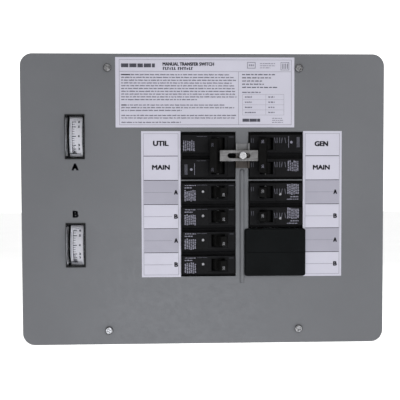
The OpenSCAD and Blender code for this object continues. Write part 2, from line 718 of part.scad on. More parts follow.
// ---------- meters ----------
module each_meter() { for (z = [meter_a_z, -meter_b_drop]) translate([meter_x, 0, z]) children(); }
module meter_case() {
    bw = meter_body_w / 2;
    bh = meter_body_h / 2;
    color(BLACK) difference() {
        union() {
            bx(-meter_w / 2, meter_w / 2, cover_front, cover_front - meter_frame_t,
               -meter_h / 2, meter_h / 2);
            bx(-bw, bw, cover_front - meter_frame_t, meter_back, -bh, bh);
        }
        bx(-bw + meter_wall, bw - meter_wall, cover_front - 5, meter_back - 1.5,
           -bh + meter_wall, bh - meter_wall);
        rod_x(0.9, window_axis_y, 0, -bw + 0.3, bw - 0.3);
        for (s = [-1, 1]) rod_y(2, 0, s * 12, meter_back + 1, meter_back - 3);
    }
}
module meter_a_case() { translate([meter_x, 0, meter_a_z]) meter_case(); }
module meter_b_case() { translate([meter_x, 0, -meter_b_drop]) meter_case(); }
// clear bulged window, hollow behind
module meter_windows() {
    w = meter_body_w / 2 + 0.4;
    face = cover_front - meter_frame_t;
    color([0.8, 0.85, 0.9, 0.35]) each_meter() difference() {
        intersection() {
            rod_x(window_r, window_axis_y, 0, -w, w);
            bx(-w, w, face, face - 20, -window_bulge_z, window_bulge_z);
        }
        intersection() {
            rod_x(window_r - 1, window_axis_y, 0, -w + 1, w - 1);
            bx(-w + 1, w - 1, face + 1, face - 20, -window_bulge_z + 1.2, window_bulge_z - 1.2);
        }
    }
}
// arc scale, standing on a web down into the case
module meter_scales() {
    bh = meter_body_h / 2 - meter_wall - 0.2;
    color(WHITE) each_meter() difference() {
        intersection() {
            rod_x(scale_r, window_axis_y, 0, -5.1, meter_body_w / 2 - meter_wall);
            bx(-6, 9, cover_front + 12, cover_front - 20, -bh, bh);
        }
        rod_x(scale_r - 0.8, window_axis_y, 0, -9, meter_body_w / 2 - meter_wall - 1);
    }
}
// pointer with its coil and staff, at rest at the foot of the scale
module meter_pointer() {
    bw = meter_body_w / 2;
    color([0.1, 0.1, 0.1]) translate([0, window_axis_y, 0]) rotate([-needle_rest, 0, 0]) union() {
        rod_x(0.85, 0, 0, -bw + 0.45, bw - 0.45);
        rod_x(3, 0, 0, -3.4, 3.4);
        bx(-6.8, -6, 0.8, -needle_r - 0.5, -0.5, 0.5);
        bx(-6.8, 2.5, -needle_r + 0.4, -needle_r - 0.5, -0.4, 0.4);
        bx(-7.2, -5.8, 0, 6, -1.6, 1.6);
    }
}
module meter_a_pointer() { translate([meter_x, 0, meter_a_z]) meter_pointer(); }
module meter_b_pointer() { translate([meter_x, 0, -meter_b_drop]) meter_pointer(); }
// ring magnet round the coil, on a block against the case's back
module meter_magnets() {
    color(ZINC) each_meter() difference() {
        union() {
            rod_x(12, window_axis_y, 0, -4.4, 4.4);
            bx(-4.4, 4.4, window_axis_y + 8, meter_back - 1.5, -5, 5);
        }
        rod_x(3.6, window_axis_y, 0, -9, 9);
    }
}
// terminal studs with their nuts
module meter_studs() {
    color(ZINC) each_meter() for (s = [-1, 1]) union() {
        rod_y(2, 0, s * 12, meter_back - 1.5, meter_back + 9);
        translate([0, meter_back, s * 12]) rotate([-90, 0, 0]) cylinder(r = 3.9, h = 3, $fn = 6);
    }
}
// sensing leads from the meters to the generator main's terminals
module wire_path(p, r) {
    for (i = [0:len(p) - 2]) {
        a = p[i];
        b = p[i + 1];
        if (a[0] != b[0]) rod_x(r, a[1], a[2], a[0], b[0]);
        if (a[1] != b[1]) rod_y(r, a[0], a[2], a[1], b[1]);
        if (a[2] != b[2]) rod_z(r, a[0], a[1], a[2], b[2]);
        if (i > 0) translate(a) sphere(r = r);
    }
}
module meter_leads() {
    out = bar_x + pivot_out + case_out;
    r = 1.8;
    y0 = meter_back + 9;
    y = meter_back + 13;
    za = rows_top + 29;
    zb = rows_top + 21;
    xa = out + 16;
    xb = out + 24;
    xm = meter_x + 18;
    az = meter_a_z + 12;
    bz = 12 - meter_b_drop;
    color([0.6, 0.1, 0.1]) {
        union() wire_path([[meter_x, y0, az], [meter_x, y, az], [meter_x, y, za], [xa, y, za],
            [xa, lug_wire_y, za], [xa, lug_wire_y, row_z(0)], [out - 7, lug_wire_y, row_z(0)]], r);
        union() wire_path([[meter_x, y0, bz], [meter_x, y, bz], [xm, y, bz], [xm, y, zb], [xb, y, zb],
            [xb, lug_wire_y, zb], [xb, lug_wire_y, row_z(1)], [out - 7, lug_wire_y, row_z(1)]], r);
    }
}

box_wrap();
box_top_end();
box_bottom_end();
cover_plate();
cover_screws();
top_label();
directory_labels();
meter_leads();
filler_plate();
interlock_channel();
interlock_plate();
interlock_screw();
interlock_nut();
util_main_case();
gen_main_case();
at_left(2) one_case();  // branch_1_case
at_left(3) one_case();  // branch_2_case
at_left(4) one_case();  // branch_3_case
at_left(5) one_case();  // branch_4_case
at_right(2) one_case();  // branch_5_case
at_right(3) one_case();  // branch_6_case
util_main_handle();
gen_main_handle();
at_left(2) one_handle();  // branch_1_handle
at_left(3) one_handle();  // branch_2_handle
at_left(4) one_handle();  // branch_3_handle
at_left(5) one_handle();  // branch_4_handle
at_right(2) one_handle();  // branch_5_handle
at_right(3) one_handle();  // branch_6_handle
util_arms();
gen_arms();
at_left(2) pole_arm(0);  // branch_1_arm
at_left(3) pole_arm(0);  // branch_2_arm
at_left(4) pole_arm(0);  // branch_3_arm
at_left(5) pole_arm(0);  // branch_4_arm
at_right(2) pole_arm(0);  // branch_5_arm
at_right(3) pole_arm(0);  // branch_6_arm
breaker_pins();
stab_jaws();
terminal_lugs();
lug_screws();
trip_units();
interior_pan();
pan_screws();
hook_rails();
bus_base();
bus_a();
bus_b();
neutral_bar();
neutral_standoffs();
ground_bar();
bar_screws();
meter_a_case();
meter_b_case();
meter_windows();
meter_scales();
meter_a_pointer();
meter_b_pointer();
meter_magnets();
meter_studs();
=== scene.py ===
import json
import math
import random

import bmesh
import bpy
from mathutils import Matrix, Vector


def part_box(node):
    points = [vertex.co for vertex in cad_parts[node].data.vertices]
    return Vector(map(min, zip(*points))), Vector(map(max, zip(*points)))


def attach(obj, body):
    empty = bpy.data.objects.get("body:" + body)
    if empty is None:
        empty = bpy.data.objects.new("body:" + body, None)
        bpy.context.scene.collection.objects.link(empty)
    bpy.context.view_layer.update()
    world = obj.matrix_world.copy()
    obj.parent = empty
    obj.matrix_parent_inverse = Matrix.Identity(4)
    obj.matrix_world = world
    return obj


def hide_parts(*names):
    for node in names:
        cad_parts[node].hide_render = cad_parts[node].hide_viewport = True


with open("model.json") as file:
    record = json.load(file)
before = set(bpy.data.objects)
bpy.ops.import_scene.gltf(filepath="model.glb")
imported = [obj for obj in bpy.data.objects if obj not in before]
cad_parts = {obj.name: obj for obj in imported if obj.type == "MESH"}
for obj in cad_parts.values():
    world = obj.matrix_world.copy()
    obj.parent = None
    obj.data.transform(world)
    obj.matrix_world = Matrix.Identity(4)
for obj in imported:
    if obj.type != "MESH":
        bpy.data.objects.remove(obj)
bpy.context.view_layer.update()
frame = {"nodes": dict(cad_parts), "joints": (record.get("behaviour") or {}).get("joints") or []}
random.seed(7)

MM = 0.001
NODES = frame["nodes"]
JOINTS = {joint["name"]: joint for joint in frame["joints"]}
BRANCHES = range(1, 7)
scene = bpy.context.scene


# ---------------------------------------------------------------- camera
CAMERA_PLACE = (-0.0284, -0.8016, 0.0248)
CAMERA_TURNS = ((-1.982, "Z"), (-2.061, "X"), (0.173, "Y"), (90, "X"))  # degrees, outermost first
SENSOR = 36.0
LENS = 59.96

cam_data = bpy.data.cameras.new("camera")
cam = bpy.data.objects.new("camera", cam_data)
scene.collection.objects.link(cam)
scene.camera = cam
cam_data.sensor_width = SENSOR
cam_data.lens = LENS
cam_data.clip_start = 0.02
cam.matrix_world = Matrix.Translation(CAMERA_PLACE)
for turn, axis in CAMERA_TURNS:
    cam.matrix_world = cam.matrix_world @ Matrix.Rotation(math.radians(turn), 4, axis)
scene.view_settings.view_transform = "Standard"
scene.view_settings.look = "None"


# ---------------------------------------------------------------- sizes taken from the frame
def span(node):
    """The node's box, as its lowest and highest corner in metres."""
    lo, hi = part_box(node)
    return [float(v) for v in lo], [float(v) for v in hi]


def centre(node):
    """The middle of the node's box in x and z, in millimetres."""
    lo, hi = span(node)
    return (lo[0] + hi[0]) / 2 / MM, (lo[2] + hi[2]) / 2 / MM


label_lo, label_hi = span("top_label")
strips_lo, strips_hi = span("directory_labels")
case_lo, case_hi = span("branch_1_case")
plate_lo, plate_hi = span("interlock_plate")
LABEL_FACE = label_lo[1]
COVER_FACE = label_hi[1]
CASE_FACE = case_lo[1]
PITCH = case_lo[2] - span("branch_2_case")[0][2]
ROW = [(case_lo[2] / 2 + case_hi[2] / 2 + PITCH * (2 - i)) / MM for i in range(6)]  # heights, top row first
BAR_X = centre("interlock_channel")[0]
INK_LIFT = 0.00003  # how far a printed mark stands off its ground, in metres


# ---------------------------------------------------------------- materials
def new_mat(name):
    m = bpy.data.materials.new(name)
    m.use_nodes = True
    return m, m.node_tree, m.node_tree.nodes["Principled BSDF"]


def coords(nt, scale=(1, 1, 1)):
    tc = nt.nodes.new("ShaderNodeTexCoord")
    mp = nt.nodes.new("ShaderNodeMapping")
    mp.inputs["Scale"].default_value = scale
    nt.links.new(tc.outputs["Object"], mp.inputs["Vector"])
    return mp.outputs["Vector"]


def noise(nt, vec, scale, detail=3.0, rough=0.6):
    n = nt.nodes.new("ShaderNodeTexNoise")
    n.inputs["Scale"].default_value = scale
    n.inputs["Detail"].default_value = detail
    n.inputs["Roughness"].default_value = rough
    nt.links.new(vec, n.inputs["Vector"])
    return n.outputs["Fac"]


def remap(nt, value, a, b, c, d):
    """The value with its range a to b laid on c to d."""
    r = nt.nodes.new("ShaderNodeMapRange")
    r.inputs["From Min"].default_value = a
    r.inputs["From Max"].default_value = b
    r.inputs["To Min"].default_value = c
    r.inputs["To Max"].default_value = d
    nt.links.new(value, r.inputs["Value"])
    return r.outputs["Result"]


def mix(nt, fac, a, b):
    x = nt.nodes.new("ShaderNodeMix")
    x.data_type = "RGBA"
    for sock, v in ((x.inputs[0], fac), (x.inputs[6], a), (x.inputs[7], b)):
        if isinstance(v, bpy.types.NodeSocket):
            nt.links.new(v, sock)
        elif isinstance(v, (int, float)):
            sock.default_value = v
        else:
            sock.default_value = (v[0], v[1], v[2], 1)
    return x.outputs[2]


def grey(value):
    return (value, value, value)


def surface(name, base, rough=0.5, metal=0.0, tone=0.12, tone_scale=30, speck=0.0, speck_col=grey(0.5),
            speck_scale=900, bump=0.15, bump_scale=900, stretch=(1, 1, 1), wear=0.0, wear_col=grey(0.3),
            spec=0.5, bump_dist=0.0002, rough_var=0.1):
    """A painted, moulded or metal surface: its tone drifts, it has specks, rubbed spots and a fine relief."""
    m, nt, b = new_mat(name)
    vec = coords(nt, stretch)
    plain = coords(nt)
    drift = noise(nt, plain, tone_scale, 4)
    dark = [c * (1 - tone) for c in base]
    light = [min(1.0, c * (1 + tone)) for c in base]
    col = mix(nt, remap(nt, drift, 0.3, 0.7, 0, 1), dark, light)
    if speck:
        s = noise(nt, plain, speck_scale, 2)
        col = mix(nt, remap(nt, s, 0.66, 0.74, 0, speck), col, speck_col)
    if wear:
        w = noise(nt, plain, 130, 6, 0.7)
        col = mix(nt, remap(nt, w, 0.62, 0.7, 0, wear), col, wear_col)
    nt.links.new(col, b.inputs["Base Color"])
    b.inputs["Metallic"].default_value = metal
    b.inputs["Specular IOR Level"].default_value = spec
    gloss = noise(nt, vec, bump_scale * 0.3, 3)
    gloss = remap(nt, gloss, 0.25, 0.75, max(0.03, rough - rough_var), min(1, rough + rough_var))
    nt.links.new(gloss, b.inputs["Roughness"])
    relief = nt.nodes.new("ShaderNodeBump")
    relief.inputs["Strength"].default_value = bump
    relief.inputs["Distance"].default_value = bump_dist
    nt.links.new(noise(nt, vec, bump_scale, 3), relief.inputs["Height"])
    nt.links.new(relief.outputs["Normal"], b.inputs["Normal"])
    return m


def film(name, base, tone, tone_scale, speck, speck_col):
    """The printed film of a label."""
    return surface(name, base, 0.42, tone=tone, tone_scale=tone_scale, speck=speck, speck_col=speck_col,
                   bump=0.06, bump_scale=500, spec=0.3)


def ink(name, base, tone=0.2, tone_scale=300):
    """An even ink, for letters and rules."""
    return surface(name, base, 0.5, tone=tone, tone_scale=tone_scale, bump=0.05, bump_scale=900, spec=0.2)


def rough_ink(name, base, tone_scale=600):
    """A broken ink, for the small print on the breakers."""
    return surface(name, base, 0.5, tone=0.3, tone_scale=tone_scale, bump=0.1, bump_scale=1200, spec=0.2)


GREY_PAINT = surface("grey_paint", (0.114, 0.117, 0.125), 0.45, tone=0.05, tone_scale=9,
                     speck=0.25, speck_col=grey(0.2), bump=0.22, bump_scale=700,
                     wear=0.06, wear_col=grey(0.08), spec=0.35)
BOX_PAINT = surface("box_paint", (0.125, 0.127, 0.132), 0.5, tone=0.07, tone_scale=12,
                    speck=0.2, speck_col=grey(0.22), bump=0.25, bump_scale=600,
                    wear=0.2, wear_col=grey(0.3), spec=0.35)
FILM = film("label_film", (0.455, 0.446, 0.512), 0.03, 14, 0.12, (0.36, 0.36, 0.4))
CELL = film("label_grey", (0.303, 0.296, 0.347), 0.04, 20, 0.1, (0.25, 0.25, 0.3))
INK = ink("ink_black", (0.02, 0.02, 0.03), tone_scale=200)
INK_BOLD = ink("ink_bold", (0.05, 0.05, 0.065))
INK_SOFT = ink("ink_text", (0.115, 0.113, 0.14), 0.25, 400)
INK_LINE = ink("ink_line", (0.2, 0.198, 0.23), 0.15)
INK_BLOCK = rough_ink("ink_block", (0.185, 0.182, 0.225), 500)
INK_WHITE = rough_ink("ink_white", (0.27, 0.27, 0.285))
INK_DIM = rough_ink("ink_dim", (0.085, 0.085, 0.105))
# painted highlights: pale strips for light caught on the curved sides of the clear meter windows
GLINT = surface("painted_window_glint", (0.3, 0.3, 0.31), 0.4, tone=0.3, tone_scale=300, bump=0.1, bump_scale=900,
                spec=0.3)
CASE = surface("breaker_black", (0.004, 0.004, 0.0046), 0.58, tone=0.3, tone_scale=60,
               speck=0.2, speck_col=(0.012, 0.012, 0.013), bump=0.35, bump_scale=1400,
               wear=0.25, wear_col=grey(0.008), spec=0.09)
HANDLE = surface("handle_black", (0.0042, 0.0041, 0.004), 0.6, tone=0.3, tone_scale=90,
                 speck=0.15, speck_col=grey(0.012), bump=0.2, bump_scale=1100,
                 wear=0.4, wear_col=grey(0.008), spec=0.05)
FILLER = surface("filler_black", (0.003, 0.0036, 0.0039), 0.5, tone=0.25, tone_scale=40,
                 bump=0.3, bump_scale=1500, wear=0.3, wear_col=(0.0055, 0.0065, 0.007), spec=0.045)
ZINC = surface("zinc", (0.52, 0.52, 0.53), 0.3, metal=1, tone=0.2, tone_scale=160, bump=0.25, bump_scale=500,
               stretch=(0.35, 1, 4), wear=0.4, wear_col=(0.3, 0.29, 0.27), rough_var=0.14)
SCREW = surface("screw_zinc", (0.22, 0.22, 0.225), 0.2, metal=1, tone=0.6, tone_scale=420,
                bump=0.6, bump_scale=420, bump_dist=0.0004, wear=0.85, wear_col=(0.05, 0.05, 0.048))
ZINC_SHEET = surface("zinc_sheet", (0.5, 0.51, 0.53), 0.4, metal=1, tone=0.25, tone_scale=50,
                     bump=0.2, bump_scale=400, wear=0.3, wear_col=grey(0.38), rough_var=0.16)
PLATE = surface("interlock_metal", (0.145, 0.142, 0.142), 0.36, metal=0.7, tone=0.28, tone_scale=150,
                bump=0.5, bump_scale=420, stretch=(0.12, 1, 5),
                wear=0.5, wear_col=(0.24, 0.235, 0.23), rough_var=0.16)
ALU = surface("tinned", (0.62, 0.63, 0.65), 0.36, metal=1, tone=0.15, tone_scale=90,
              bump=0.25, bump_scale=500, stretch=(1, 1, 0.2),
              wear=0.2, wear_col=(0.45, 0.45, 0.46), rough_var=0.14)
COPPER = surface("copper", (0.6, 0.28, 0.15), 0.36, metal=1, tone=0.22, tone_scale=150,
                 bump=0.2, bump_scale=600, wear=0.5, wear_col=(0.3, 0.14, 0.08), rough_var=0.14)
METER = surface("meter_black", (0.006, 0.006, 0.0065), 0.4, tone=0.25, tone_scale=80,
                bump=0.12, bump_scale=900, spec=0.14)
DIAL = surface("dial_white", (0.565, 0.545, 0.545), 0.55, tone=0.04, tone_scale=60,
               bump=0.08, bump_scale=700, spec=0.3)
NEEDLE = surface("needle", (0.02, 0.02, 0.022), 0.45, tone=0.2, tone_scale=150,
                 bump=0.1, bump_scale=900, spec=0.3)
MAGNET = surface("magnet", (0.16, 0.155, 0.15), 0.55, metal=0.8, tone=0.3, tone_scale=120,
                 bump=0.4, bump_scale=500, wear=0.4, wear_col=(0.1, 0.07, 0.05), rough_var=0.15)
RED = surface("lead_red", (0.32, 0.02, 0.018), 0.4, tone=0.15, tone_scale=100,
              bump=0.12, bump_scale=600, spec=0.4)
BASE = surface("base_red", (0.2, 0.045, 0.03), 0.5, tone=0.2, tone_scale=60,
               speck=0.3, speck_col=(0.1, 0.03, 0.02), bump=0.35, bump_scale=700, spec=0.35)
FLOOR = surface("floor_pale", grey(0.93), 0.8, tone=0.01, tone_scale=3, bump=0.05, bump_scale=60, spec=0.1)


def channel_mat(low, high):
    """Zinc that keeps its own colour above the height high and turns dark brown below the height low: painted
    shade, standing for the shadow of the interlock plate on the channel below it.
    """
    m = surface("channel_metal", (0.165, 0.165, 0.168), 0.45, metal=0.3, tone=0.15, tone_scale=90,
                bump=0.3, bump_scale=500, wear=0.3, wear_col=grey(0.2), rough_var=0.12)
    nt = m.node_tree
    b = nt.nodes["Principled BSDF"]
    unshaded_colour = b.inputs["Base Color"].links[0].from_socket
    sep = nt.nodes.new("ShaderNodeSeparateXYZ")
    nt.links.new(coords(nt), sep.inputs["Vector"])
    # noise that makes the edge of the painted shade ragged
    shade_edge_noise = remap(nt, noise(nt, coords(nt), 220, 5, 0.7), 0.35, 0.65, -0.0015, 0.0015)
    add = nt.nodes.new("ShaderNodeMath")
    add.operation = "ADD"
    nt.links.new(sep.outputs["Z"], add.inputs[0])
    nt.links.new(shade_edge_noise, add.inputs[1])
    # painted shade: dark brown mixed in from the height high down to the height low, for the interlock
    # plate's shadow
    painted_plate_shade = mix(nt, remap(nt, add.outputs[0], high, low, 0, 1), unshaded_colour, (0.038, 0.03, 0.024))
    nt.links.new(painted_plate_shade, b.inputs["Base Color"])
    return m


def clear_mat():
    """Thin clear plastic, mostly see-through, with a gloss that varies a little."""
    m, nt, b = new_mat("clear_plastic")
    b.inputs["Base Color"].default_value = (0.93, 0.94, 0.96, 1)
    b.inputs["Transmission Weight"].default_value = 1.0
    b.inputs["IOR"].default_value = 1.2
    gloss = noise(nt, coords(nt), 260, 4)
    nt.links.new(remap(nt, gloss, 0.4, 0.75, 0.03, 0.14), b.inputs["Roughness"])
    through = nt.nodes.new("ShaderNodeBsdfTransparent")
    through.inputs["Color"].default_value = (0.94, 0.95, 0.97, 1)
    blend = nt.nodes.new("ShaderNodeMixShader")
    blend.inputs[0].default_value = 0.3
    nt.links.new(through.outputs[0], blend.inputs[1])
    nt.links.new(b.outputs[0], blend.inputs[2])
    nt.links.new(blend.outputs[0], nt.nodes["Material Output"].inputs["Surface"])
    return m


# ---------------------------------------------------------------- making pieces
EDGE_ANGLE = 30  # degrees: a sharper edge than this is broken
SHADE_ANGLE = 38  # degrees: a sharper edge than this stays crisp in the shading
FLAT = 0.9995  # a face whose normal is this close to an axis is flat


def paint(o, m):
    o.data.materials.clear()
    o.data.materials.append(m)
    for p in o.data.polygons:
        p.material_index = 0


def make(name, mesh, m, body, replaced=()):
    o = bpy.data.objects.new(name, mesh)
    scene.collection.objects.link(o)
    paint(o, m)
    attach(o, body)
    if replaced:
        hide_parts(*replaced)
    return o


def softened(node, m, body, width=0.3):
    """The node's own solid with its sharp edges broken by a small radius, standing for the node."""
    bm = bmesh.new()
    bm.from_mesh(NODES[node].data)
    bmesh.ops.remove_doubles(bm, verts=bm.verts, dist=1e-6)
    bmesh.ops.dissolve_limit(bm, angle_limit=math.radians(0.6), verts=bm.verts, edges=bm.edges)
    edges = [e for e in bm.edges
             if len(e.link_faces) == 2 and e.calc_face_angle(0) > math.radians(EDGE_ANGLE)]
    bmesh.ops.bevel(bm, geom=edges, offset=width * MM, segments=2, profile=0.5, affect="EDGES",
                    clamp_overlap=True, loop_slide=True)
    mesh = bpy.data.meshes.new(node + "_soft")
    bm.to_mesh(mesh)
    bm.free()
    lo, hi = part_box(node)
    for v in mesh.vertices:
        for k in range(3):
            v.co[k] = min(max(v.co[k], lo[k]), hi[k])
    # the imported normals no longer fit the mesh once its edges are broken
    if "custom_normal" in mesh.attributes:
        mesh.attributes.remove(mesh.attributes["custom_normal"])
    mesh.update()
    make(node + "_soft", mesh, m, body, (node,))
    mesh.set_sharp_from_angle(angle=math.radians(SHADE_ANGLE))
    for p in mesh.polygons:
        # broad flat faces stay flat, so that no shade runs across them from their rounded edges
        p.use_smooth = max(abs(c) for c in p.normal) < FLAT


class Print:
    """Flat printed marks in one ink on a plane facing the front, gathered into one mesh. Every size but
    the plane's own place, y, is in millimetres."""

    def __init__(self, y=0.0):
        self.y, self.verts, self.faces = y, [], []

    def quad(self, pts):
        n = len(self.verts)
        self.verts += pts
        self.faces.append(tuple(range(n, n + len(pts))))

    def rect(self, x0, x1, z0, z1):
        x0, x1 = min(x0, x1) * MM, max(x0, x1) * MM
        z0, z1 = min(z0, z1) * MM, max(z0, z1) * MM
        y = self.y
        self.quad([(x0, y, z0), (x1, y, z0), (x1, y, z1), (x0, y, z1)])

    def frame(self, x0, x1, z0, z1, t):
        self.rect(x0, x1, z1 - t, z1)
        self.rect(x0, x1, z0, z0 + t)
        self.rect(x0, x0 + t, z0 + t, z1 - t)
        self.rect(x1 - t, x1, z0 + t, z1 - t)

    def disc(self, x, z, r, n=20):
        turns = [2 * math.pi * k / n for k in range(n)]
        self.quad([((x + r * math.cos(t)) * MM, self.y, (z + r * math.sin(t)) * MM) for t in turns])

    def words(self, x0, x1, z, h, low=1.6, high=6.0, gap=0.8, ragged=True):
        """A line of text too small to read, as word-long dashes with rising and falling strokes."""
        x = x0
        while x < x1 - 0.6:
            w = min(random.uniform(low, high), x1 - x)
            self.rect(x, x + w, z - h / 2, z + h / 2)
            if ragged:
                self.strokes(x, x + w, z, h)
            x += w + gap

    def strokes(self, x0, x1, z, h, width=0.3):
        """The rising and falling strokes of one dash."""
        k = x0 + width
        while k < x1 - 0.5:
            up = random.random()
            if up < 0.35:
                self.rect(k, k + width, z + h / 2, z + h / 2 + h * 0.45)
            elif up < 0.5:
                self.rect(k, k + width, z - h / 2 - h * 0.4, z - h / 2)
            k += random.uniform(0.6, 1.3)

    def columns(self, x0, x1, z0, z1, n, fill=0.5):
        """A block of n lines of small text that reads upwards, as word-long dashes with side strokes."""
        step = (x1 - x0) / n
        w = step * fill / 2
        for k in range(n):
            xc = x0 + (k + 0.5) * step
            z = z0 + random.uniform(0, 1.2)
            end = z1 - random.uniform(0, 1.5)
            while z < end - 0.5:
                h = min(random.uniform(1.2, 3.6), end - z)
                self.rect(xc - w, xc + w, z, z + h)
                self.side_strokes(xc, w, z, z + h, step * 0.25)
                z += h + 0.5

    def side_strokes(self, xc, w, z0, z1, reach, width=0.35):
        """The same for a dash that reads upwards."""
        q = z0 + 0.25
        while q < z1 - 0.4:
            up = random.random()
            if up < 0.4:
                self.rect(xc + w, xc + w + reach, q, q + width)
            elif up < 0.65:
                self.rect(xc - w - reach, xc - w, q, q + width)
            q += random.uniform(0.6, 1.1)

    def text(self, string, x, z, height, heavy=0.0, align="CENTER", arc=None, width=None, turn=False,
             offset=0.008):
        """Letters of the built-in face: height is the capitals' height, width the word's, heavy the extra
        stroke width. arc maps them on a dial, and turn makes them read upwards."""
        cu = bpy.data.curves.new("letters", "FONT")
        cu.body = string
        cu.size = 1.0
        cu.offset = offset
        cu.resolution_u = 3
        cu.align_x = align
        cu.align_y = "CENTER"
        tmp = bpy.data.objects.new("letters", cu)
        scene.collection.objects.link(tmp)
        bpy.context.view_layer.update()
        me = bpy.data.meshes.new_from_object(tmp.evaluated_get(bpy.context.evaluated_depsgraph_get()))
        xs, zs = [v.co.x for v in me.vertices], [v.co.y for v in me.vertices]
        left, mid = min(xs), (min(zs) + max(zs)) / 2
        k = (height - heavy * 0.6) / max(1e-6, max(zs) - min(zs))
        kx = (width - heavy) / (max(xs) - left) if width else k
        base = (min(xs) + max(xs)) / 2 if align == "CENTER" else left
        copies = [(0, 0)]
        if heavy:
            copies += [(heavy * a / 2, heavy * b * 0.3) for a in (-1, 1) for b in (-1, 1)]
        for dx, dz in copies:
            n = len(self.verts)
            for v in me.vertices:
                ax, az = (v.co.x - base) * kx + dx, (v.co.y - mid) * k + dz
                if turn:
                    ax, az = -az, ax
                self.verts.append(arc(x + ax, z + az) if arc else ((x + ax) * MM, self.y, (z + az) * MM))
            for p in me.polygons:
                self.faces.append(tuple(n + i for i in p.vertices))
        bpy.data.objects.remove(tmp)
        bpy.data.curves.remove(cu)
        bpy.data.meshes.remove(me)

    def build(self, name, m, body="body"):
        mesh = bpy.data.meshes.new(name)
        mesh.from_pydata([Vector(v) for v in self.verts], [], self.faces)
        mesh.update()
        make(name, mesh, m, body)


# ---------------------------------------------------------------- the CAD pieces
def finish_plain_nodes():
    """The nodes that keep their own mesh, with a finish each."""
    branch_arms = ["branch_%d_arm" % i for i in BRANCHES]
    finishes = (
        (BOX_PAINT, ["box_wrap", "box_top_end", "box_bottom_end"]),
        (ZINC, ["lug_screws", "pan_screws", "bar_screws", "meter_studs", "breaker_pins", "interlock_nut"]),
        (ZINC_SHEET, ["interior_pan", "hook_rails"]),
        (ALU, ["neutral_bar", "ground_bar", "terminal_lugs", "bus_a", "bus_b"]),
        (COPPER, ["stab_jaws", "trip_units", "util_arms", "gen_arms"] + branch_arms),
        (RED, ["meter_leads"]),
        (BASE, ["bus_base", "neutral_standoffs"]),
        (clear_mat(), ["meter_windows"]),
        (DIAL, ["meter_scales"]),
        (MAGNET, ["meter_magnets"]),
        (FILM, ["top_label", "directory_labels"]),
        (NEEDLE, ["meter_a_pointer", "meter_b_pointer"]),
    )
    for m, names in finishes:
        for n in names:
            paint(NODES[n], m)


def soften_front_nodes():
    """The nodes seen from the front, with the edges broken by the width in millimetres."""
    softened("cover_plate", GREY_PAINT, "body", 0.35)
    softened("cover_screws", SCREW, "body", 0.14)
    # the channel gets painted shade from just above the interlock plate downwards, for the plate's shadow
    softened("interlock_channel", channel_mat(plate_lo[2] + 0.004, plate_hi[2] + 0.001), "body", 0.2)
    softened("interlock_screw", ZINC, "body", 0.16)
    softened("interlock_plate", PLATE, "interlock_bar")
    softened("filler_plate", FILLER, "body", 0.4)
    for n in ("meter_a_case", "meter_b_case"):
        softened(n, METER, "body", 0.25)
    softened("util_main_handle", HANDLE, "util_handle", 0.5)
    softened("gen_main_handle", HANDLE, "gen_handle", 0.5)
    for i in BRANCHES:
        softened("branch_%d_handle" % i, HANDLE, "branch_%d_toggle" % i, 0.5)
        softened("branch_%d_case" % i, CASE, "body", 0.4)
    for n in ("util_main_case", "gen_main_case"):
        softened(n, CASE, "body", 0.4)


# ---------------------------------------------------------------- top label
RULE = 0.22  # half the width of a ruled line
TABLE_RULE = 0.13
TABLE_ROW = 5.375
TEXT_STEP = 2.88  # from one line of small print to the next
LEFT_TEXT = [(0, 113), (1, 118), (2, 120), (3, 115.5), (4, 118), (5, 119.5), (6, 119), (7, 119), (8, 120.5),
             (9, 79), (10.94, 109), (11.91, 118), (12.88, 63), (14.69, 120), (15.62, 118.5), (17.19, 62)]
LEFT_LEADS = {0: 9.5, 10.94: 5.5}  # lines that start with a bold word, and its length


def label_heading(line, soft, dark, left, right, top):
    """Title, code line, maker's place and three plain marks, all in neutral dashes but the title."""
    dark.text("MANUAL TRANSFER SWITCH", left + 49.4, top - 7.1, 3.6, 0.45, "LEFT", width=53.8, offset=0.0)
    for start, end in ((49.4, 54.6), (56.4, 61.8), (65.0, 80.3)):
        while start < end:
            tall = random.choice((10.2, 10.2, 10.9))
            dark.rect(left + start, left + start + 1.3, top - 13.2, top - tall)
            low = random.choice((10.9, 12.1, 13.2))
            dark.rect(left + start + 1.3, left + start + 1.9, top - low, top - low + 0.8)
            start += 2.3
    dark.words(left + 6.0, left + 41.2, top - 8.6, 4.0, 5.5, 9.0, 0.9, False)
    line.frame(left + 137.5, left + 146.5, top - 11.6, top - 4.8, 0.8)
    line.words(left + 139.4, left + 144.8, top - 8.2, 2.0, 1.2, 2.4, 0.5, False)
    for k in range(3):
        soft.words(left + 151.0, left + 166.9 - 5 * (k == 2), top - 6.5 - 2.2 * k, 0.6, 1.5, 4.0, 0.5)
    line.frame(right - 14.5, right - 5.4, top - 13.4, top - 4.8, 0.7)
    for k in range(3):
        line.rect(right - 12.8 + 2.4 * k, right - 11.4 + 2.4 * k, top - 11.9, top - 6.3)


def label_left_text(soft, dark, left, head):
    for k, end in LEFT_TEXT:
        z = head - 3.3 - TEXT_STEP * k
        soft.words(left + 6.0, left + 6.0 + end, z, 0.95)
        if k in LEFT_LEADS:
            dark.words(left + 6.0, left + 6.0 + LEFT_LEADS[k], z, 1.1, 4, 9, 0.5, False)


